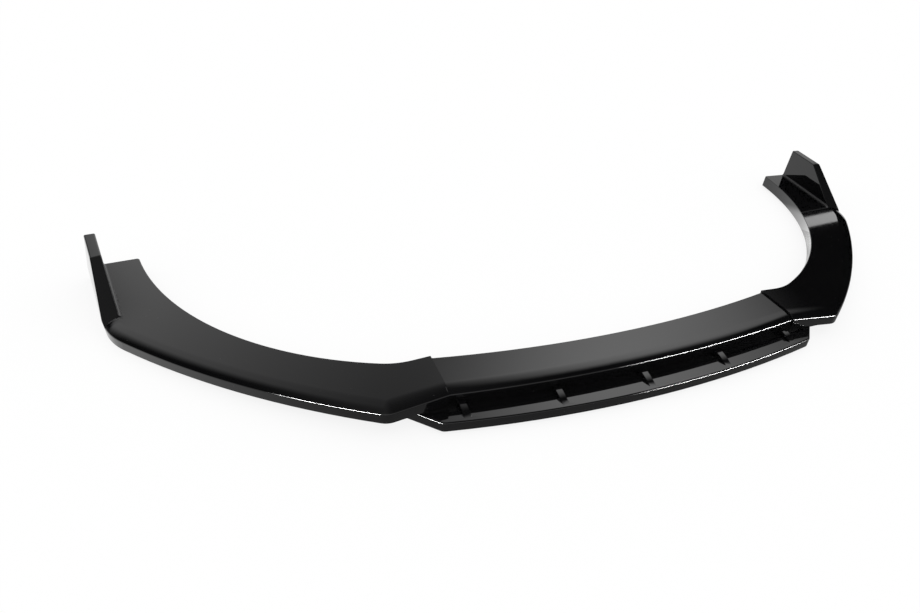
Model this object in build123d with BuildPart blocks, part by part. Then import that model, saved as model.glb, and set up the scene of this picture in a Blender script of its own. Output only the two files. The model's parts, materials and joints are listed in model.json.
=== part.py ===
from build123d import *
import os
from math import atan2, cos, radians, sin, sqrt, tan

# Front splitter lip, gloss black mouldings. Millimetres, +Z up, +X to the right as seen from in front of
# the car, -Y towards the front. The origin is on the centreline, on the seat on top of the centre panel.

# Moulding
wall = 3.0
lap_clearance = 0.3
crease_radius = 3.5
edge_chamfer = 1.0
roll_run = 27.0
roll_drop = 6.5

# Centre panel
seam = 354.0
panel_front = 45.5
panel_front_radius = 2720.0
panel_rear = 37.0
panel_rear_radius = 2080.0
panel_depth = 14.5
tongue = 48.0
tongue_tuck = 2.5
seam_gap = 0.5

# Wings, measured on the right one as it lies flat; both droop outwards from the seams
droop = 3.3
wing_depth = 26.0
corner_x = 460.0
corner_y = -34.0
corner_blend = 4.0
wing_front_radius = 1600.0
shoulder_in = 36.0
shoulder_y = 337.0
shoulder_radius = 150.0
wing_half = 906.0
wing_rear = 574.0
tip_in = 97.0
tip_fore = 3.0
tip_radius = 6.0
bend_start = 386.0
bend_x = 440.0
bend_rise = 11.7

# Winglets
fin_height = 74.0
fin_base_length = 210.0
fin_top_length = 99.0
fin_base_thickness = 30.0
fin_outer_draft = 10.0
fin_inner_draft = -2.5
fin_rear_draft = 4.0
fin_corner_radius = 8.0
fin_upright_radius = 3.0
fin_edge_radius = 2.8
fin_root_radius = 4.0

# Lower blade
blade_front = 90.7
blade_front_radius = 2142.0
blade_half = 375.0
blade_corner_radius = 15.0
blade_end_angle = 46.0
blade_rear = 10.0
blade_depth = 18.0
deck_drop = 30.5
lip_radius = 3.0
ear_half = 456.0
ear_front = 24.0
ear_radius = 6.0
riser_half = 338.0
riser_gap = 0.5
riser_tuck = 4.0
rib_count = 5
rib_pitch = 166.5
rib_thickness = 13.0
rib_height = 9.0
rib_toe = 9.0
rib_chamfer = 1.0

# Screw posts on the blade, and the blind bosses above them
post_radius = 6.0
post_joint_drop = 13.0
post_pitch = 250.0
post_count = 3
post_y = 0.0
pilot_depth = 8.0

# Self-tapping screws that hold the blade
screw_radius = 2.1
screw_head_radius = 4.2
screw_head_height = 2.8
screw_head_chamfer = 1.0
screw_clearance = 0.5
screw_end_gap = 1.5
pilot_clearance = 0.1

# Bolt through the lapped rear walls at each seam
bolt_radius = 2.5
bolt_clearance = 0.3
bolt_head_radius = 4.75
bolt_head_height = 3.2
bolt_head_chamfer = 1.2
bolt_drop = 8.5
bolt_inset = 17.0
bolt_end = 2.0
slot_travel = 8.0
washer_radius = 5.0
washer_thickness = 1.0
nut_height = 4.0
nut_flats = 8.0

# Levels
wing_top = wall
wing_bottom = wing_top - wing_depth
fin_top = wing_top + fin_height
deck = -deck_drop
deck_under = deck - wall
blade_bottom = deck - blade_depth
riser_top = riser_tuck - panel_depth
post_joint = -post_joint_drop

# Roll of the front edges: an arc that leaves the flat top level and ends at a crisp edge
roll_radius = (roll_run**2 + roll_drop**2) / (2 * roll_drop)
roll_angle = atan2(roll_run, roll_radius - roll_drop)
wing_roll_radius = roll_radius + wall
wing_roll_run = wing_roll_radius * sin(roll_angle)
wing_crease = wing_top - wing_roll_radius * (1 - cos(roll_angle))
panel_crease = -roll_drop
corner_radius = wing_roll_run + corner_blend


def bow(middle, radius, x):
    """Y of an arc that bows forward about the centreline, at a distance x from it."""
    return middle + radius - sqrt(radius**2 - x**2)


def nearest(edges, point, level):
    """The edge that passes nearest to a point of the plan at a level."""
    return edges.sort_by_distance((point.X, point.Y, level))[0]


# Places in plan
tongue_end = seam + tongue
panel_front_end = bow(-panel_front, panel_front_radius, seam)
panel_rear_end = bow(panel_rear, panel_rear_radius, seam)
wing_seam_front = panel_front_end - wall
wing_seam_rear = panel_rear_end + wall
blade_corner_y = bow(-blade_front, blade_front_radius, blade_half)
blade_end_x = blade_half + (blade_rear - blade_corner_y) / tan(radians(blade_end_angle))
post_places = [((index - (post_count - 1) / 2) * post_pitch, post_y) for index in range(post_count)]
bolt_place = (seam + bolt_inset, -bolt_drop)
seam_axis = Axis((seam, 0, 0), (0, 1, 0))


def roll_cut(path, top, radius, inset):
    """What lies above a rolled front edge, or above the same roll sunk by inset, along the edge's path."""
    along = path % 0
    outward = Vector(-along.Y, along.X)
    centre = Vector(-radius * sin(roll_angle), top - radius)
    start = centre + Vector(0, radius - inset)
    end = centre + Vector(sin(roll_angle), cos(roll_angle)) * (radius - inset)
    with BuildPart() as cut:
        with BuildSketch(Plane(origin=path @ 0, x_dir=outward, z_dir=along)):
            with BuildLine():
                roll = TangentArc(start, end, tangent=(1, 0))
                run_out = Line(end, end + (roll % 1) * roll_run)
                Polyline(run_out @ 1, ((run_out @ 1).X, top + roll_run), (start.X, top + roll_run), start)
            make_face()
        sweep(path=path)
    return cut.part


# Plan of the right wing, carried past the seam so that its end stays open for the panel's tongue
outer_rear = Vector(wing_half, wing_rear)
shoulder = Vector(wing_half - shoulder_in, shoulder_y)
corner = Vector(corner_x, corner_y)
tip = Vector(wing_half - tip_in, wing_rear - tip_fore)
bend = Vector(bend_x, wing_seam_rear + bend_rise)
past_seam = seam - wing_roll_run
corner_slope = (corner_y - wing_seam_front) / (corner_x - seam)
past_seam_front = wing_seam_front - corner_slope * wing_roll_run
fin_along = (shoulder - outer_rear).normalized()
fin_inward = Vector(fin_along.Y, -fin_along.X)

with BuildLine() as wing_edge:
    Line(outer_rear, shoulder)
    wing_front = RadiusArc(shoulder, corner, wing_front_radius)
    Line(corner, (past_seam, past_seam_front))
    fillet(wing_edge.vertices().sort_by_distance(shoulder)[0], shoulder_radius)
    fillet(wing_edge.vertices().sort_by_distance(corner)[0], corner_radius)

with BuildLine() as wing_roll_path:
    Line(outer_rear - fin_along * wing_roll_run, outer_rear)
    add(wing_edge.line)

with BuildSketch() as wing_plan:
    with BuildLine():
        add(wing_edge.line)
        Line((past_seam, past_seam_front), (past_seam, wing_seam_rear))
        flat = Line((past_seam, wing_seam_rear), (bend_start, wing_seam_rear))
        inner_bend = TangentArc(flat @ 1, bend, tangent=flat % 1)
        inner_edge = TangentArc(bend, tip, tangent=inner_bend % 1)
        Line(tip, outer_rear)
    make_face()
    fillet(wing_plan.vertices().sort_by_distance(tip)[0], tip_radius)

# Winglet: a raked side profile, a drafted section and a leaning rear face, from the wing's outer rear corner
rear_along = (tip - outer_rear).normalized()
rear_outward = Vector(rear_along.Y, -rear_along.X)
rear_draft = radians(fin_rear_draft)
fin_side = Plane(origin=outer_rear - fin_inward * fin_base_thickness, x_dir=fin_along, z_dir=fin_inward)
fin_section = Plane(origin=outer_rear, x_dir=fin_inward, z_dir=-fin_along)
fin_lean = fin_height * tan(radians(fin_outer_draft))
fin_inner_lean = fin_height * tan(radians(fin_inner_draft))
fin_kink = fin_height * tan(rear_draft) + fin_top_length
fin_spread = wing_depth * tan(radians(fin_outer_draft))
fin_flange = fin_base_thickness + 2 * fin_root_radius
fin_foot = fin_base_length + (fin_base_length - fin_kink) * wing_depth / fin_height


def fin_block(inset):
    """The winglet as a solid, or its hollow when inset by the wall."""
    with BuildPart() as block:
        with BuildSketch(fin_side) as side:
            with BuildLine():
                Polyline(
                    (-fin_base_thickness, wing_bottom),
                    (fin_foot, wing_bottom),
                    (fin_kink, fin_top),
                    (-fin_base_thickness, fin_top),
                    close=True,
                )
            make_face()
            fillet(side.vertices().sort_by_distance((fin_kink, fin_top))[0], fin_corner_radius)
            if inset:
                offset(amount=-inset, kind=Kind.INTERSECTION)
        extrude(amount=fin_base_thickness + fin_flange)
        with BuildSketch(fin_section) as section:
            with BuildLine():
                Polyline(
                    (-fin_spread, wing_bottom),
                    (fin_flange, wing_bottom),
                    (fin_flange, wing_top),
                    (fin_base_thickness, wing_top),
                    (fin_base_thickness - fin_inner_lean, fin_top),
                    (fin_lean, fin_top),
                    close=True,
                )
            make_face()
            fillet(section.vertices().sort_by_distance((fin_base_thickness, wing_top))[0], fin_root_radius)
            if inset:
                offset(amount=-inset, kind=Kind.INTERSECTION)
        extrude(amount=fin_foot + fin_base_thickness, both=True, mode=Mode.INTERSECT)
        rear_normal = rear_outward * cos(rear_draft) + Vector(0, 0, sin(rear_draft))
        rear_point = outer_rear + Vector(0, 0, wing_top) - rear_normal * inset
        split(bisect_by=Plane(origin=rear_point, x_dir=rear_along, z_dir=rear_normal), keep=Keep.BOTTOM)
        if not inset:
            inner_rear = outer_rear + fin_inward * fin_base_thickness
            fillet(nearest(block.edges(), outer_rear, wing_top), fin_upright_radius)
            fillet(nearest(block.edges(), inner_rear, fin_top / 2), fin_upright_radius)
            rim = block.faces().sort_by(Axis.Z)[-1].edges()
            fillet(rim.sort_by_distance(rear_point + Vector(0, 0, fin_height))[0], fin_edge_radius)
        with BuildSketch(Plane.XY.offset(wing_bottom)):
            add(wing_plan.sketch)
            if inset:
                offset(amount=-inset, kind=Kind.INTERSECTION)
        extrude(amount=wing_depth + fin_height, mode=Mode.INTERSECT)
    return block.part


def boss(places, top):
    """Blind screw bosses that hang from the panel's underside."""
    with BuildPart() as bosses:
        with BuildSketch(Plane.XY.offset(post_joint)):
            with Locations(*places):
                Circle(post_radius)
        extrude(amount=top - post_joint)
        with BuildSketch(Plane.XY.offset(post_joint)):
            with Locations(*places):
                Circle(screw_radius + pilot_clearance)
        extrude(amount=pilot_depth, mode=Mode.SUBTRACT)
    return bosses.part


with BuildPart() as wing_hollow:
    with BuildSketch(Plane.XY.offset(wing_bottom - wall)):
        add(wing_plan.sketch)
        offset(amount=-wall, kind=Kind.INTERSECTION)
    extrude(amount=wing_depth)
    add(roll_cut(wing_roll_path.wire(), wing_top, wing_roll_radius, wall), mode=Mode.SUBTRACT)
    add(fin_block(wall))

with BuildPart() as wing_flat:
    with BuildSketch(Plane.XY.offset(wing_bottom)):
        add(wing_plan.sketch)
    extrude(amount=wing_depth)
    chamfer(nearest(wing_flat.edges(), inner_edge @ 0.5, wing_top), edge_chamfer)
    add(roll_cut(wing_roll_path.wire(), wing_top, wing_roll_radius, 0), mode=Mode.SUBTRACT)
    fillet(nearest(wing_flat.edges(), wing_front @ 0.5, wing_crease), crease_radius)
    add(fin_block(0))
    add(wing_hollow.part, mode=Mode.SUBTRACT)
    with BuildSketch(Plane.XZ.offset(-wing_seam_rear)):
        with Locations(bolt_place):
            Circle(bolt_radius + bolt_clearance)
    extrude(amount=wall, both=True, mode=Mode.SUBTRACT)

with BuildPart() as wing_right:
    add(wing_flat.part.rotate(seam_axis, droop))
    split(bisect_by=Plane.YZ.offset(seam), keep=Keep.TOP)

wing_left = mirror(wing_right.part, about=Plane.YZ)

# Centre panel: the same rolled section one wall inside the wings, with slotted tongues that droop with them
past_tongue = tongue_end + roll_run
tongue_slope = seam / sqrt(panel_front_radius**2 - seam**2)
past_tongue_front = panel_front_end + tongue_slope * (past_tongue - seam)

with BuildLine() as panel_edge:
    Line((past_tongue, past_tongue_front), (seam, panel_front_end))
    panel_bow = ThreePointArc((seam, panel_front_end), (0, -panel_front), (-seam, panel_front_end))
    Line((-seam, panel_front_end), (-past_tongue, past_tongue_front))

with BuildSketch() as panel_plan:
    with BuildLine():
        add(panel_edge.line)
        Line((-past_tongue, past_tongue_front), (-past_tongue, panel_rear_end))
        Line((-past_tongue, panel_rear_end), (-seam, panel_rear_end))
        panel_rear_bow = ThreePointArc((-seam, panel_rear_end), (0, panel_rear), (seam, panel_rear_end))
        Line((seam, panel_rear_end), (past_tongue, panel_rear_end))
        Line((past_tongue, panel_rear_end), (past_tongue, past_tongue_front))
    make_face()


def panel_block(inset):
    """The panel as a solid that runs past its ends, or the same sunk on all its faces by an inset."""
    with BuildPart() as block:
        with BuildSketch(Plane.XY.offset(-panel_depth - inset)):
            add(panel_plan.sketch)
            if inset:
                offset(amount=-inset, kind=Kind.INTERSECTION)
        extrude(amount=panel_depth)
        if not inset:
            chamfer(nearest(block.edges(), panel_rear_bow @ 0.5, 0), edge_chamfer)
        add(roll_cut(panel_edge.wire(), 0, roll_radius, inset), mode=Mode.SUBTRACT)
        if not inset:
            fillet(nearest(block.edges(), panel_bow @ 0.5, panel_crease), crease_radius)
    return block.part


def panel_shell(inset, start, end):
    """A length of the panel's tray, with its outer faces sunk by an inset."""
    with BuildPart() as shell:
        add(panel_block(inset))
        add(panel_block(inset + wall), mode=Mode.SUBTRACT)
        split(bisect_by=Plane.YZ.offset(start), keep=Keep.TOP)
        split(bisect_by=Plane.YZ.offset(end), keep=Keep.BOTTOM)
    return shell.part


panel_half = seam - seam_gap
panel_inside = panel_rear_end - lap_clearance - wall

with BuildPart() as tongue_flat:
    add(panel_shell(lap_clearance, seam - tongue_tuck, tongue_end))
    with BuildSketch(Plane.XZ.offset(-panel_rear_end)):
        with Locations(bolt_place):
            SlotCenterToCenter(slot_travel, 2 * (bolt_radius + bolt_clearance))
    extrude(amount=2 * wall, mode=Mode.SUBTRACT)

tongue_right = tongue_flat.part.rotate(seam_axis, droop)
tongue_left = mirror(tongue_right, about=Plane.YZ)

with BuildPart() as centre_panel:
    add(panel_shell(0, -panel_half, panel_half))
    add(tongue_right)
    add(tongue_left)
    add(boss(post_places, -wall / 2))

# Lower blade: a shallow tray with a rounded lip, cored ribs, a riser behind the panel's skirt, ears, posts
with BuildSketch() as blade_plan:
    with BuildLine():
        blade_bow = ThreePointArc(
            (-blade_half, blade_corner_y), (0, -blade_front), (blade_half, blade_corner_y)
        )
        Polyline(
            (blade_half, blade_corner_y),
            (blade_end_x, blade_rear),
            (-blade_end_x, blade_rear),
            (-blade_half, blade_corner_y),
        )
    make_face()
    fillet(blade_plan.vertices().group_by(Axis.Y)[0], blade_corner_radius)


def riser_y(x):
    """Y of the riser's front face, just behind the panel's skirt."""
    return bow(-panel_front, panel_front_radius, x) + wall + riser_gap


def rib_block(x, inset):
    """A rib whose crest curves down from the riser to its toe, or with an inset the core open below it."""
    toe = bow(-blade_front, blade_front_radius, x) + rib_toe
    front = riser_y(x)
    back = front + wall
    crest = deck + rib_height
    foot = deck - wall - 2 * inset
    with BuildPart() as rib:
        with BuildSketch(Plane.YZ.offset(x - rib_thickness / 2 + inset)):
            with BuildLine():
                Polyline((toe, deck), (toe, foot), (back, foot), (back, crest), (front, crest))
                TangentArc((front, crest), (toe, deck), tangent=(-1, 0))
            make_face()
            if inset:
                offset(amount=-inset, kind=Kind.INTERSECTION)
        extrude(amount=rib_thickness - 2 * inset)
        if not inset:
            crown = rib.edges().filter_by(GeomType.CIRCLE)
            chamfer(crown, rib_chamfer)
    return rib.part


rib_places = [(index - (rib_count - 1) / 2) * rib_pitch for index in range(rib_count)]

with BuildPart() as lower_blade:
    with BuildSketch(Plane.XY.offset(blade_bottom)):
        add(blade_plan.sketch)
    extrude(amount=blade_depth)
    fillet(nearest(lower_blade.edges(), blade_bow @ 0.5, deck), lip_radius)
    with BuildSketch(Plane.XY.offset(blade_bottom)):
        add(blade_plan.sketch)
        offset(amount=-wall, kind=Kind.INTERSECTION)
    extrude(amount=blade_depth - wall, mode=Mode.SUBTRACT)
    with BuildSketch(Plane.XY.offset(deck_under)) as ears:
        with BuildLine():
            Polyline(
                (-ear_half, -ear_front),
                (ear_half, -ear_front),
                (ear_half, blade_rear),
                (-ear_half, blade_rear),
                close=True,
            )
        make_face()
        fillet(ears.vertices(), ear_radius)
    extrude(amount=wall)
    with BuildSketch(Plane.XY.offset(deck_under)):
        with BuildLine():
            riser_end = (riser_half, riser_y(riser_half))
            ThreePointArc((-riser_half, riser_y(riser_half)), (0, riser_y(0)), riser_end)
            Line(riser_end, (riser_half, riser_y(riser_half) + wall))
            ThreePointArc(
                (riser_half, riser_y(riser_half) + wall),
                (0, riser_y(0) + wall),
                (-riser_half, riser_y(riser_half) + wall),
            )
            Line((-riser_half, riser_y(riser_half) + wall), (-riser_half, riser_y(riser_half)))
        make_face()
    extrude(amount=riser_top - deck_under)
    for rib_x in rib_places:
        add(rib_block(rib_x, 0))
    for rib_x in rib_places:
        add(rib_block(rib_x, wall), mode=Mode.SUBTRACT)
    with BuildSketch(Plane.XY.offset(deck_under)):
        with Locations(*post_places):
            Circle(post_radius)
    extrude(amount=post_joint - deck_under)
    with BuildSketch(Plane.XY.offset(deck_under)):
        with Locations(*post_places):
            Circle(screw_radius + screw_clearance)
    extrude(amount=post_joint - deck_under, mode=Mode.SUBTRACT)

# Fasteners
with BuildPart() as blade_screws:
    with BuildSketch(Plane.XY.offset(deck_under)):
        with Locations(*post_places):
            Circle(screw_head_radius)
    extrude(amount=-screw_head_height)
    chamfer(blade_screws.edges().group_by(Axis.Z)[0], screw_head_chamfer)
    with BuildSketch(Plane.XY.offset(deck_under)):
        with Locations(*post_places):
            Circle(screw_radius)
    extrude(amount=post_joint + pilot_depth - screw_end_gap - deck_under)

nut_seat = panel_inside - washer_thickness

with BuildPart() as seam_bolts:
    with BuildSketch(Plane.XZ.offset(-wing_seam_rear)):
        with Locations(bolt_place):
            Circle(bolt_head_radius)
    extrude(amount=-bolt_head_height)
    chamfer(seam_bolts.edges().group_by(Axis.Y)[-1], bolt_head_chamfer)
    with BuildSketch(Plane.XZ.offset(-wing_seam_rear)):
        with Locations(bolt_place):
            Circle(bolt_radius)
    extrude(amount=wing_seam_rear - nut_seat + nut_height + bolt_end)

with BuildPart() as seam_washers:
    with BuildSketch(Plane.XZ.offset(-panel_inside)):
        with Locations(bolt_place):
            Circle(washer_radius)
            Circle(bolt_radius + bolt_clearance, mode=Mode.SUBTRACT)
    extrude(amount=washer_thickness)

with BuildPart() as seam_nuts:
    with BuildSketch(Plane.XZ.offset(-nut_seat)):
        with Locations(bolt_place):
            RegularPolygon(nut_flats / 2, 6, major_radius=False)
            Circle(bolt_radius, mode=Mode.SUBTRACT)
    extrude(amount=nut_height)


def both_seams(piece):
    """A right-hand fastener, drooped with its wing, and the same on the left."""
    with BuildPart() as pair:
        add(piece.rotate(seam_axis, droop))
        mirror(about=Plane.YZ)
    return pair.part


pieces = {
    "wing_left": wing_left,
    "wing_right": wing_right.part,
    "centre_panel": centre_panel.part,
    "lower_blade": lower_blade.part,
    "joint_bolts": both_seams(seam_bolts.part),
    "joint_washers": both_seams(seam_washers.part),
    "joint_nuts": both_seams(seam_nuts.part),
    "blade_screws": blade_screws.part,
}
os.makedirs("parts", exist_ok=True)
for name, piece in pieces.items():
    piece.label = name
    export_step(piece, f"parts/{name}.step")
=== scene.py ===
import json
from math import asin, atan2, cos, degrees, pi, radians, sin, sqrt, tan

import bmesh
import bpy
from mathutils import Matrix, Vector


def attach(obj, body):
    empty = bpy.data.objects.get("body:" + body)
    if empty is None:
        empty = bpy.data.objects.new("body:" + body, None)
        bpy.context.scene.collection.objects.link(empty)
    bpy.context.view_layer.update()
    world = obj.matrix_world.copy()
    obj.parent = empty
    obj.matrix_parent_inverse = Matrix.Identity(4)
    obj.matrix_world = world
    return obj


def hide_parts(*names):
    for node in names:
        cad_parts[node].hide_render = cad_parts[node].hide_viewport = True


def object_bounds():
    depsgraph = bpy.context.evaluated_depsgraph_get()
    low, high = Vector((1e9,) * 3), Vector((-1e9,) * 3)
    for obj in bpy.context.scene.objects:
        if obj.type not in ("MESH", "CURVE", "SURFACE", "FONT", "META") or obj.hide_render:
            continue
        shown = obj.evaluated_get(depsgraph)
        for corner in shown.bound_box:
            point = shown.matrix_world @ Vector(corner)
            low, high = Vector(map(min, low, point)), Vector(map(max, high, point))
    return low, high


# Gloss black front splitter lip, dressed for a plain white studio. Metres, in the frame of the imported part.
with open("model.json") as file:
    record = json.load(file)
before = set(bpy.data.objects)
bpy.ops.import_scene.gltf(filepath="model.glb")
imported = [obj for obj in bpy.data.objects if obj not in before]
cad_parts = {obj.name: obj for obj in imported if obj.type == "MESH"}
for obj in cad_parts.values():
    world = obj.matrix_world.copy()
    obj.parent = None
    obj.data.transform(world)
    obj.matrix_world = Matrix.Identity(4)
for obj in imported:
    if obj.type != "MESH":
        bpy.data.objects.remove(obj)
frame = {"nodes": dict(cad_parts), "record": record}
cad_low, cad_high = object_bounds()

# Camera, solved from the photograph
CAMERA_PLACE = (-0.6787, -0.7912, 0.7554)
CAMERA_HEADING = -23.41
CAMERA_ELEVATION = 35.13
CAMERA_ROLL = 4.01
PHOTO_WIDTH = 920
FOCAL_PIXELS = 700
SENSOR_WIDTH = 36.0
CAMERA_REACH = 100.0

# Mouldings: the front edge's section, the seams' place and the wings' droop, as the part has them
WALL = 0.003
ROLL_RUN = 0.027
ROLL_DROP = 0.0065
CREASE_RADIUS = 0.0035
SEAM = 0.354
DROOP = 3.3

# How meshes are joined, rounded at the seams and shaded. Angles are in degrees.
WELD_DISTANCE = 1e-5
FLUSH_ANGLE = 1
SHARP_ANGLE = 32
SEAM_REACH = 0.0001
SEAM_RADIUS = 0.002
TOP_FACING = 0.5
WINGLET_START = 0.36
LEVEL_TOLERANCE = 0.12
CREASE_TOLERANCE = 0.35

# Fasteners: sizes as the part has them, and the sockets, threads and broken edges that it leaves out
BOLT_HEAD = 0.0032
BOLT_HEAD_RADIUS = 0.00475
BOLT_RADIUS = 0.0025
BOLT_SOCKET = 0.003
BOLT_THREAD = 0.0066
BOLT_PITCH = 0.0008
THREAD_DEPTH = 0.0004
SCREW_HEAD = 0.0028
SCREW_HEAD_RADIUS = 0.0042
SCREW_RADIUS = 0.0021
SCREW_SOCKET = 0.0025
SCREW_PITCH = 0.0014
SOCKET_SHARE = 0.55
FASTENER_SIDES = 24
EDGE_BREAK = 0.0003
SOCKET_FLAT = 60

# A button head's dome from its socket's rim to its seat, as shares of its radius and height
HEAD_DOME = ((0.62, 1.0), (0.8, 0.9), (0.93, 0.72), (1.0, 0.45), (1.0, 0.0))

# The Mix node's sockets for colours: two inputs and the output
FIRST_COLOUR = 6
SECOND_COLOUR = 7
MIXED_COLOUR = 2


class Field:
    """A value that varies over a surface, which can be added, taken away and multiplied."""

    def __init__(self, tree, socket):
        self.tree = tree
        self.socket = socket

    def math(self, operation, first, second):
        node = self.tree.nodes.new("ShaderNodeMath")
        node.operation = operation
        for slot, value in zip(node.inputs, (first, second)):
            connect(self.tree, value, slot)
        return Field(self.tree, node.outputs[0])

    def node(self, kind, settings, values, output=0):
        """Any other node, with its settings, its socket values and the output that is wanted."""
        made = self.tree.nodes.new(kind)
        for name, value in settings.items():
            setattr(made, name, value)
        for name, value in values.items():
            connect(self.tree, value, made.inputs[name])
        return Field(self.tree, made.outputs[output])

    def __add__(self, other):
        return self.math("ADD", self, other)

    def __radd__(self, other):
        return self.math("ADD", other, self)

    def __sub__(self, other):
        return self.math("SUBTRACT", self, other)

    def __rsub__(self, other):
        return self.math("SUBTRACT", other, self)

    def __mul__(self, other):
        return self.math("MULTIPLY", self, other)

    def __rmul__(self, other):
        return self.math("MULTIPLY", other, self)


def connect(tree, value, slot):
    """Links a field to a socket, or sets the socket to a plain value."""
    if isinstance(value, Field):
        tree.links.new(value.socket, slot)
    else:
        slot.default_value = value


def start_material(name):
    """A new material with its shader, and the surface's own place to hang textures on."""
    material = bpy.data.materials.new(name)
    material.use_nodes = True
    tree = material.node_tree
    shader = tree.nodes["Principled BSDF"]
    coordinates = tree.nodes.new("ShaderNodeTexCoord")
    return material, shader, Field(tree, coordinates.outputs["Object"])


def noise(place, cells, detail):
    """Cloudy noise about one half, with a number of cells per metre."""
    return place.node("ShaderNodeTexNoise", {}, {"Vector": place, "Scale": cells, "Detail": detail})


def bump(shader, height, depth, strength):
    """Raises a surface by a height field, which is scaled to a depth in metres."""
    tree = shader.id_data
    normal = height.node("ShaderNodeBump", {}, {"Height": height, "Distance": depth, "Strength": strength})
    tree.links.new(normal.socket, shader.inputs["Normal"])


def blend(amount, first, second):
    """A colour between two colours."""
    return amount.node(
        "ShaderNodeMix",
        {"data_type": "RGBA"},
        {"Factor": amount, FIRST_COLOUR: first, SECOND_COLOUR: second},
        output=MIXED_COLOUR,
    )


def dust(place, cells, size, share):
    """One on small specks and nought between them.

    Cells are counted per metre, the size is in cells, and only a share of the cells holds a speck.
    """
    spots = {"Vector": place, "Scale": cells}
    reach = place.node("ShaderNodeTexVoronoi", {}, spots, "Distance")
    draw = place.node("ShaderNodeTexVoronoi", {}, spots, "Color")
    chance = draw.node("ShaderNodeSeparateColor", {}, {"Color": draw}, "Red")
    return reach.math("LESS_THAN", reach, size) * chance.math("LESS_THAN", chance, share)


def gloss_black_plastic():
    """Moulded plastic with a deep gloss: faint flow marks, a skin that isn't quite flat, and fine dust."""
    material, shader, place = start_material("gloss_black_plastic")
    tree = shader.id_data
    flow = noise(place, cells=9.0, detail=3.0)
    haze = noise(place, cells=60.0, detail=4.0)
    skin = noise(place, cells=210.0, detail=1.0)
    specks = dust(place, cells=150.0, size=0.06, share=0.1)
    black = blend(flow, (0.0022, 0.0022, 0.0024, 1), (0.0042, 0.0042, 0.0045, 1))
    connect(tree, blend(specks, black, (0.07, 0.07, 0.07, 1)), shader.inputs["Base Color"])
    connect(tree, 0.012 + 0.03 * haze + 0.3 * specks, shader.inputs["Roughness"])
    shader.inputs["IOR"].default_value = 1.5
    bump(shader, skin, depth=0.00002, strength=0.12)
    return material


def black_steel():
    """Blackened screws and bolts: satin, with small lighter specks."""
    material, shader, place = start_material("black_steel")
    tree = shader.id_data
    grain = noise(place, cells=900.0, detail=3.0)
    colour = blend(grain, (0.012, 0.012, 0.013, 1), (0.05, 0.05, 0.053, 1))
    connect(tree, colour, shader.inputs["Base Color"])
    connect(tree, 0.32 + 0.18 * grain, shader.inputs["Roughness"])
    shader.inputs["Metallic"].default_value = 0.6
    bump(shader, grain, depth=0.00005, strength=0.2)
    return material


def plated_steel():
    """Zinc plated nuts and washers: bright, with a cloudy passivated film."""
    material, shader, place = start_material("plated_steel")
    tree = shader.id_data
    cloud = noise(place, cells=240.0, detail=3.0)
    grain = noise(place, cells=1500.0, detail=2.0)
    colour = blend(cloud, (0.44, 0.44, 0.43, 1), (0.62, 0.63, 0.64, 1))
    connect(tree, colour, shader.inputs["Base Color"])
    connect(tree, 0.22 + 0.2 * cloud, shader.inputs["Roughness"])
    shader.inputs["Metallic"].default_value = 1.0
    bump(shader, grain, depth=0.00004, strength=0.15)
    return material


FINISHES = {
    "gloss_black": gloss_black_plastic(),
    "black_steel": black_steel(),
    "plated_steel": plated_steel(),
}
NODE_SLOTS = {part["node"]: part["material_slot"] for part in frame["record"]["subparts"]}


class FrontEdge:
    """A front edge's section: a level top, a rolled arc, a tight crease and an upright skirt."""

    def __init__(self, top):
        lean = atan2(ROLL_RUN, (ROLL_RUN**2 - ROLL_DROP**2) / (2 * ROLL_DROP))
        self.top = top
        self.radius = (ROLL_RUN**2 + ROLL_DROP**2) / (2 * ROLL_DROP) + top
        inset = self.radius * sin(lean) - CREASE_RADIUS
        reach = self.radius - CREASE_RADIUS
        self.crease_centre = top - self.radius + sqrt(reach**2 - inset**2)
        self.roll_end = top - self.radius * (1 - cos(asin(inset / reach)))

    def upward(self, height):
        """How far the edge faces upward at a height, from one on the level top to nought on the skirt."""
        if height > self.roll_end:
            return min(1.0, 1 - (self.top - height) / self.radius)
        return max(0.0, (height - self.crease_centre) / CREASE_RADIUS)

    def corrected(self, place, normal):
        """The exact normal where a rough one lies on this edge, or the rough one elsewhere."""
        upward = self.upward(place.z)
        in_crease = self.crease_centre < place.z < self.roll_end
        tolerance = CREASE_TOLERANCE if in_crease else LEVEL_TOLERANCE
        if place.z > self.top + WELD_DISTANCE or abs(normal.z - upward) > tolerance:
            return normal
        outward = Vector((normal.x, normal.y, 0))
        if place.y > WINGLET_START and upward < 1:
            return normal
        if upward == 1 or outward.length == 0:
            return Vector((0, 0, upward))
        return outward.normalized() * sqrt(1 - upward**2) + Vector((0, 0, upward))


def levelling(side):
    """Turns a wing level about its seam: side is one for the right wing and minus one for the left."""
    hinge = Matrix.Translation((side * SEAM, 0, 0))
    return hinge @ Matrix.Rotation(-side * radians(DROOP), 4, "Y") @ hinge.inverted()


FRONT_EDGES = {
    "wing_left": (FrontEdge(WALL), levelling(-1)),
    "wing_right": (FrontEdge(WALL), levelling(1)),
    "centre_panel": (FrontEdge(0.0), Matrix.Identity(4)),
}


def settle_normals(piece, node):
    """Shades by face area, and exactly along a front edge, so that reflections run evenly."""
    weights = piece.modifiers.new("face weights", "WEIGHTED_NORMAL")
    weights.keep_sharp = True
    weights.mode = "FACE_AREA_WITH_ANGLE"
    shaded = piece.evaluated_get(bpy.context.evaluated_depsgraph_get()).data
    normals = [Vector(corner.vector) for corner in shaded.corner_normals]
    piece.modifiers.remove(weights)
    if node in FRONT_EDGES:
        edge, level = FRONT_EDGES[node]
        turn = level.to_3x3()
        for loop in piece.data.loops:
            place = level @ piece.data.vertices[loop.vertex_index].co
            exact = edge.corrected(place, turn @ normals[loop.index])
            normals[loop.index] = turn.transposed() @ exact
    piece.data.normals_split_custom_set(normals)


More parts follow.
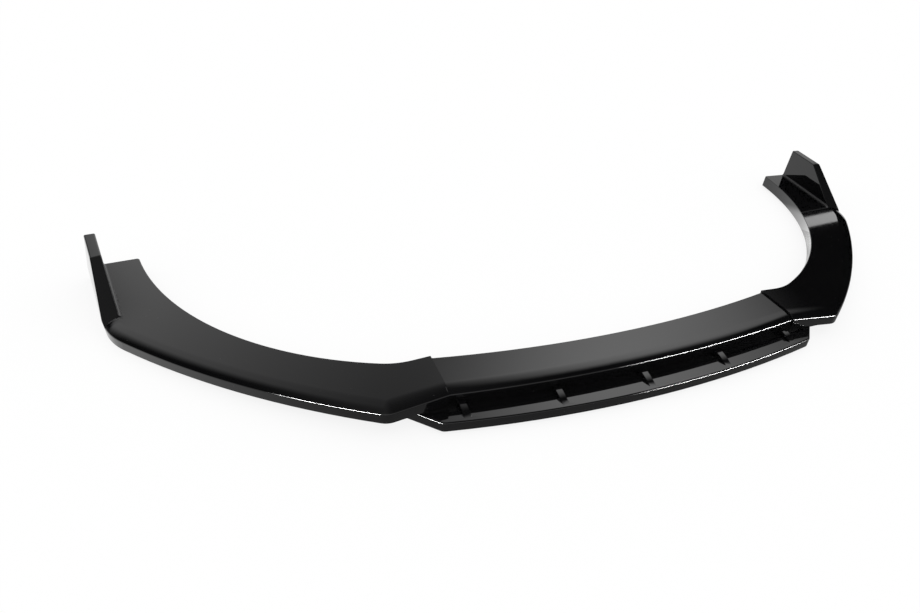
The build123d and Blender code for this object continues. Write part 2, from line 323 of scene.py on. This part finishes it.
def round_seam_end(form, level):
    """Rounds the top edge of a wing's end, where it laps over the panel."""
    ends = []
    for edge in form.edges:
        spots = [level @ vertex.co for vertex in edge.verts]
        at_seam = all(abs(abs(spot.x) - SEAM) < SEAM_REACH for spot in spots)
        top_faces = [face for face in edge.link_faces if (level.to_3x3() @ face.normal).z > TOP_FACING]
        if at_seam and len(top_faces) == 1:
            ends.append(edge)
    bmesh.ops.bevel(
        form,
        geom=ends,
        offset=SEAM_RADIUS,
        offset_type="OFFSET",
        affect="EDGES",
        segments=3,
        profile=0.5,
        material=-1,
        clamp_overlap=True,
    )


def welded_copy(node):
    """A copy of a solid's mesh with its loose triangles joined."""
    form = bmesh.new()
    form.from_mesh(frame["nodes"][node].data)
    bmesh.ops.remove_doubles(form, verts=form.verts, dist=WELD_DISTANCE)
    bmesh.ops.dissolve_degenerate(form, edges=form.edges, dist=WELD_DISTANCE / 10)
    form.normal_update()
    return form


def moulding(node):
    """A moulding, with the lapping ends of a wing rounded."""
    form = welded_copy(node)
    if node in ("wing_left", "wing_right"):
        round_seam_end(form, FRONT_EDGES[node][1])
    return form


def pressing(node):
    """A nut or washer with its edges broken."""
    form = welded_copy(node)
    flat = [edge for edge in form.edges if edge.calc_face_angle() < radians(FLUSH_ANGLE)]
    bmesh.ops.dissolve_edges(form, edges=flat, use_verts=False)
    edges = [edge for edge in form.edges if edge.calc_face_angle() > radians(SHARP_ANGLE)]
    bmesh.ops.bevel(
        form,
        geom=edges,
        offset=EDGE_BREAK,
        offset_type="OFFSET",
        affect="EDGES",
        segments=2,
        profile=0.5,
        material=-1,
        clamp_overlap=True,
    )
    return form


def head_profile(radius, height, socket):
    """A button head from its socket's floor out to its seat, as pairs of radius and height."""
    corner = socket / sqrt(3)
    floor = height * (1 - SOCKET_SHARE)
    dome = [(radius * out, height * up) for out, up in HEAD_DOME]
    return [(0, floor), (corner, floor), (corner, height)] + dome


def shank_profile(radius, length, thread, pitch):
    """A shank from its seat to its tip, with a thread along the end of it."""
    points = [(radius, 0), (radius, thread - length)]
    turns = int(thread / pitch)
    for turn in range(turns):
        height = thread - length - turn * pitch
        points.append((radius - THREAD_DEPTH, height - pitch / 2))
        points.append((radius, height - pitch))
    return points + [(radius - THREAD_DEPTH, -length), (0, -length)]


def turned(profile, socket):
    """Spins a profile about its axis and makes the socket in its head six-sided."""
    form = bmesh.new()
    points = [form.verts.new((radius, 0, height)) for radius, height in profile]
    lines = [form.edges.new(pair) for pair in zip(points, points[1:])]
    bmesh.ops.spin(
        form,
        geom=points + lines,
        cent=(0, 0, 0),
        axis=(0, 0, 1),
        angle=2 * pi,
        steps=FASTENER_SIDES,
        use_merge=True,
    )
    bmesh.ops.remove_doubles(form, verts=form.verts, dist=WELD_DISTANCE / 10)
    for vertex in form.verts:
        across = Vector((vertex.co.x, vertex.co.y))
        if vertex.co.z > 0 and abs(across.length - socket / sqrt(3)) < WELD_DISTANCE:
            angle = degrees(atan2(across.y, across.x))
            lean = (angle + SOCKET_FLAT / 2) % SOCKET_FLAT - SOCKET_FLAT / 2
            reach = socket / 2 / cos(radians(lean)) / across.length
            vertex.co.x *= reach
            vertex.co.y *= reach
    bmesh.ops.recalc_face_normals(form, faces=form.faces)
    return form


def placed_copies(form, places):
    """Puts a copy of a form at each place, which is a matrix."""
    master = bpy.data.meshes.new("fastener")
    form.to_mesh(master)
    form.free()
    copies = bmesh.new()
    for place in places:
        first = len(copies.verts)
        copies.from_mesh(master)
        copies.verts.ensure_lookup_table()
        bmesh.ops.transform(copies, verts=copies.verts[first:], matrix=place)
    bpy.data.meshes.remove(master)
    return copies


def node_span(node, side=0):
    """The low and high corners of a node's solids, or of those on one side of the centre."""
    spots = [vertex.co for vertex in frame["nodes"][node].data.vertices if vertex.co.x * side >= 0]
    low = Vector(min(spot[axis] for spot in spots) for axis in range(3))
    high = Vector(max(spot[axis] for spot in spots) for axis in range(3))
    return low, high


def joint_bolts(node):
    """Button head bolts through the wings' lapped rear walls, with their heads to the rear."""
    places = []
    for side in (-1, 1):
        low, high = node_span(node, side)
        seat = Vector(((low.x + high.x) / 2, high.y - BOLT_HEAD, (low.z + high.z) / 2))
        places.append(Matrix.Translation(seat) @ Matrix.Rotation(radians(-90), 4, "X"))
    head = head_profile(BOLT_HEAD_RADIUS, BOLT_HEAD, BOLT_SOCKET)
    shank = shank_profile(BOLT_RADIUS, seat.y - low.y, BOLT_THREAD, BOLT_PITCH)
    return placed_copies(turned(head + shank, BOLT_SOCKET), places)


def blade_screws(node):
    """Screws up through the blade's posts, with their heads underneath."""
    low, high = node_span(node)
    reach = (high.x - low.x) / 2 - SCREW_HEAD_RADIUS
    seat = Vector(((low.x + high.x) / 2, (low.y + high.y) / 2, low.z + SCREW_HEAD))
    places = []
    for step in (-1, 0, 1):
        place = Matrix.Translation(seat + Vector((step * reach, 0, 0)))
        places.append(place @ Matrix.Rotation(pi, 4, "X"))
    head = head_profile(SCREW_HEAD_RADIUS, SCREW_HEAD, SCREW_SOCKET)
    length = high.z - seat.z
    shank = shank_profile(SCREW_RADIUS, length, length - SCREW_PITCH, SCREW_PITCH)
    return placed_copies(turned(head + shank, SCREW_SOCKET), places)


MAKERS = {
    "joint_bolts": joint_bolts,
    "blade_screws": blade_screws,
    "joint_nuts": pressing,
    "joint_washers": pressing,
}


def shaded_piece(node):
    """The piece that shows a node: smooth over its curves and crisp at its edges."""
    mesh = bpy.data.meshes.new(node + "_shell")
    form = MAKERS.get(node, moulding)(node)
    form.normal_update()
    for face in form.faces:
        face.smooth = True
    for edge in form.edges:
        edge.smooth = len(edge.link_faces) == 2 and edge.calc_face_angle() < radians(SHARP_ANGLE)
    form.to_mesh(mesh)
    form.free()
    piece = bpy.data.objects.new(node + "_shell", mesh)
    bpy.context.scene.collection.objects.link(piece)
    settle_normals(piece, node)
    mesh.materials.append(FINISHES[NODE_SLOTS[node]])
    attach(piece, "root")
    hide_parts(node)


for node in frame["nodes"]:
    shaded_piece(node)


# Studio: the floor, the world's level of light, and how far away the boards and lights stand
FLOOR_SIZE = 60.0
FLOOR_GAP = 0.0005
FLOOR_SHADE = 0.94
FLOOR_ROUGHNESS = 0.9
FLOOR_GLOW = 0.85
WORLD_LEVEL = 1.06
BOARD_DISTANCE = 8.0
LIGHT_DISTANCE = 7.0
NEAR_BOARD_DISTANCE = 6.5

# A grey flag on the floor before the lip
FLAG_SIZE = (12.0, 6.0)
FLAG_BACK = 0.35
FLAG_SOFT = (0.05, 0.085)
FLAG_COVER = 0.8

# A low light on the floor behind the right wing
LOW_LIGHT_CENTRE = (0.70, 0.367)
LOW_LIGHT_SIZE = (0.34, 0.25)
LOW_LIGHT_SOFT = (0.2, 0.25)
LOW_LIGHT_GLOW = 2.3


def towards(azimuth, elevation, distance=BOARD_DISTANCE):
    """A place in a direction from the lip, with azimuth in degrees from behind it round to the right."""
    across = distance * cos(radians(elevation))
    return Vector(
        (
            across * sin(radians(azimuth)),
            across * cos(radians(azimuth)),
            distance * sin(radians(elevation)),
        )
    )


def card(name, place, spread, soft, glow=0.0, roll=0.0):
    """A board that faces the lip. Its spread is the angle in degrees that it covers across and up."""
    wide, high = (2 * place.length * tan(radians(angle / 2)) for angle in spread)
    turn = (-place).to_track_quat("Z", "Y").to_matrix().to_4x4()
    rolled = turn @ Matrix.Rotation(radians(roll), 4, "Z")
    board(name, (wide, high), Matrix.Translation(place) @ rolled, card_finish(name, glow, soft))


def floor_card(name, centre, size, soft, glow=0.0, cover=1.0):
    """A board that lies just above the floor."""
    place = (*centre, cad_low.z - FLOOR_GAP / 2)
    board(name, size, Matrix.Translation(place), card_finish(name, glow, soft, cover))


def board(name, size, where, finish):
    """A flat board that the gloss reflects and the camera itself doesn't see."""
    mesh = bpy.data.meshes.new(name)
    form = bmesh.new()
    form.loops.layers.uv.new("board")
    bmesh.ops.create_grid(form, x_segments=1, y_segments=1, size=0.5, calc_uvs=True)
    bmesh.ops.scale(form, verts=form.verts, vec=(*size, 1))
    bmesh.ops.transform(form, verts=form.verts, matrix=where)
    form.to_mesh(mesh)
    form.free()
    piece = bpy.data.objects.new(name, mesh)
    bpy.context.scene.collection.objects.link(piece)
    mesh.materials.append(finish)
    piece.visible_camera = False
    piece.visible_diffuse = False
    piece.visible_shadow = False


def card_finish(name, glow, soft, cover=1.0):
    """A glow, or black where the glow is nought, that fades out over a share of the board at its edges."""
    material = bpy.data.materials.new(name)
    material.use_nodes = True
    tree = material.node_tree
    tree.nodes.remove(tree.nodes["Principled BSDF"])
    coordinates = tree.nodes.new("ShaderNodeTexCoord")
    place = Field(tree, coordinates.outputs["UV"])
    across = place.node("ShaderNodeSeparateXYZ", {}, {"Vector": place}, "X")
    along = place.node("ShaderNodeSeparateXYZ", {}, {"Vector": place}, "Y")
    share = cover * fade(across, soft[0]) * fade(along, soft[1])
    light = place.node("ShaderNodeEmission", {}, {"Strength": glow})
    clear = place.node("ShaderNodeBsdfTransparent", {}, {})
    mixed = place.node("ShaderNodeMixShader", {}, {0: share, 1: clear, 2: light})
    tree.links.new(mixed.socket, tree.nodes["Material Output"].inputs["Surface"])
    return material


def fade(span, soft):
    """Nought at both ends of a board's span, and one inside the faded share."""
    inside = span.math("MINIMUM", span, 1 - span)
    return inside.node(
        "ShaderNodeMapRange", {"interpolation_type": "SMOOTHSTEP"}, {"Value": inside, "From Max": soft}
    )


def seen_rays(tree):
    """One for what the eye, a reflection or a clear body sees, and nought for the light on a surface."""
    paths = tree.nodes.new("ShaderNodeLightPath")
    seen = Field(tree, paths.outputs["Is Camera Ray"])
    seen = seen.math("MAXIMUM", seen, Field(tree, paths.outputs["Is Glossy Ray"]))
    return seen.math("MAXIMUM", seen, Field(tree, paths.outputs["Is Transmission Ray"]))


def studio_floor():
    """A pale floor just under the lip. A share of it glows to the eye, so that shadows stay light."""
    mesh = bpy.data.meshes.new("floor")
    form = bmesh.new()
    bmesh.ops.create_grid(form, x_segments=1, y_segments=1, size=FLOOR_SIZE / 2)
    bmesh.ops.translate(form, verts=form.verts, vec=(0, 0, cad_low.z - FLOOR_GAP))
    form.to_mesh(mesh)
    form.free()
    floor = bpy.data.objects.new("floor", mesh)
    bpy.context.scene.collection.objects.link(floor)
    material, shader, place = start_material("studio_floor")
    tree = shader.id_data
    shader.inputs["Base Color"].default_value = (FLOOR_SHADE, FLOOR_SHADE, FLOOR_SHADE, 1)
    shader.inputs["Roughness"].default_value = FLOOR_ROUGHNESS
    shader.inputs["Specular IOR Level"].default_value = 0.0
    white = place.node("ShaderNodeEmission", {}, {"Strength": 1.0})
    share = FLOOR_GLOW * seen_rays(tree)
    matt = Field(tree, shader.outputs["BSDF"])
    mixed = place.node("ShaderNodeMixShader", {}, {0: share, 1: matt, 2: white})
    tree.links.new(mixed.socket, tree.nodes["Material Output"].inputs["Surface"])
    mesh.materials.append(material)


def studio_world():
    """White to the eye and in reflections, and a plain level of light on everything."""
    world = bpy.data.worlds.new("studio")
    bpy.context.scene.world = world
    world.use_nodes = True
    tree = world.node_tree
    background = tree.nodes["Background"]
    background.inputs["Color"].default_value = (1, 1, 1, 1)
    connect(tree, WORLD_LEVEL + (1 - WORLD_LEVEL) * seen_rays(tree), background.inputs["Strength"])


studio_floor()
studio_world()

# Black boards: overhead, on the left, low and high on the right, and low behind on the left
card("overhead_board", towards(102, 63), (134, 148), soft=(0.5, 0.5), roll=-90)
card("left_board", towards(-85, 33), (88, 101), soft=(0.27, 0.41), roll=22)
card("right_board", towards(65, 16), (25, 40), soft=(0.08, 0.16), roll=19)
card("right_high_board", towards(79.5, 29, NEAR_BOARD_DISTANCE), (42, 26), soft=(0.2, 0.18), roll=45)
card("rear_left_board", towards(-33, 21), (37, 18), soft=(0.32, 0.19), roll=12)

# A small window before the low board on the right, and a wide softbox above and behind on the right
card("window", towards(55.2, 15.9, LIGHT_DISTANCE), (4.1, 0.97), soft=(0.1, 0.1), glow=1.75, roll=-35)
card("rear_softbox", towards(48, 46, LIGHT_DISTANCE), (52, 49), soft=(0.34, 0.5), glow=2.03, roll=35)

# Low strips in front on both sides, for the bright lines on the creases
card("left_strip", towards(-123.5, 3.5, LIGHT_DISTANCE), (28, 6.5), soft=(0.3, 0.35), glow=320.0)
card("right_strip", towards(135, 3.5, LIGHT_DISTANCE), (35, 6.5), soft=(0.25, 0.35), glow=210.0)

# The skirts and the blade's edge reflect the flag, and the right wing's inner wall reflects the low light
floor_card("front_flag", (0, FLAG_BACK - FLAG_SIZE[1] / 2), FLAG_SIZE, FLAG_SOFT, cover=FLAG_COVER)
floor_card("low_light", LOW_LIGHT_CENTRE, LOW_LIGHT_SIZE, LOW_LIGHT_SOFT, glow=LOW_LIGHT_GLOW)


def set_camera():
    """The camera at the photograph's place and angle, with its focal length given in pixels."""
    lens = bpy.data.cameras.new("camera")
    lens.sensor_fit = "HORIZONTAL"
    lens.sensor_width = SENSOR_WIDTH
    lens.lens = FOCAL_PIXELS / PHOTO_WIDTH * SENSOR_WIDTH
    lens.clip_end = CAMERA_REACH
    camera = bpy.data.objects.new("camera", lens)
    bpy.context.scene.collection.objects.link(camera)
    turn = (
        Matrix.Rotation(radians(CAMERA_HEADING), 4, "Z")
        @ Matrix.Rotation(radians(90 - CAMERA_ELEVATION), 4, "X")
        @ Matrix.Rotation(radians(CAMERA_ROLL), 4, "Z")
    )
    camera.matrix_world = Matrix.Translation(CAMERA_PLACE) @ turn
    bpy.context.scene.camera = camera


set_camera()
bpy.context.scene.view_settings.view_transform = "Standard"
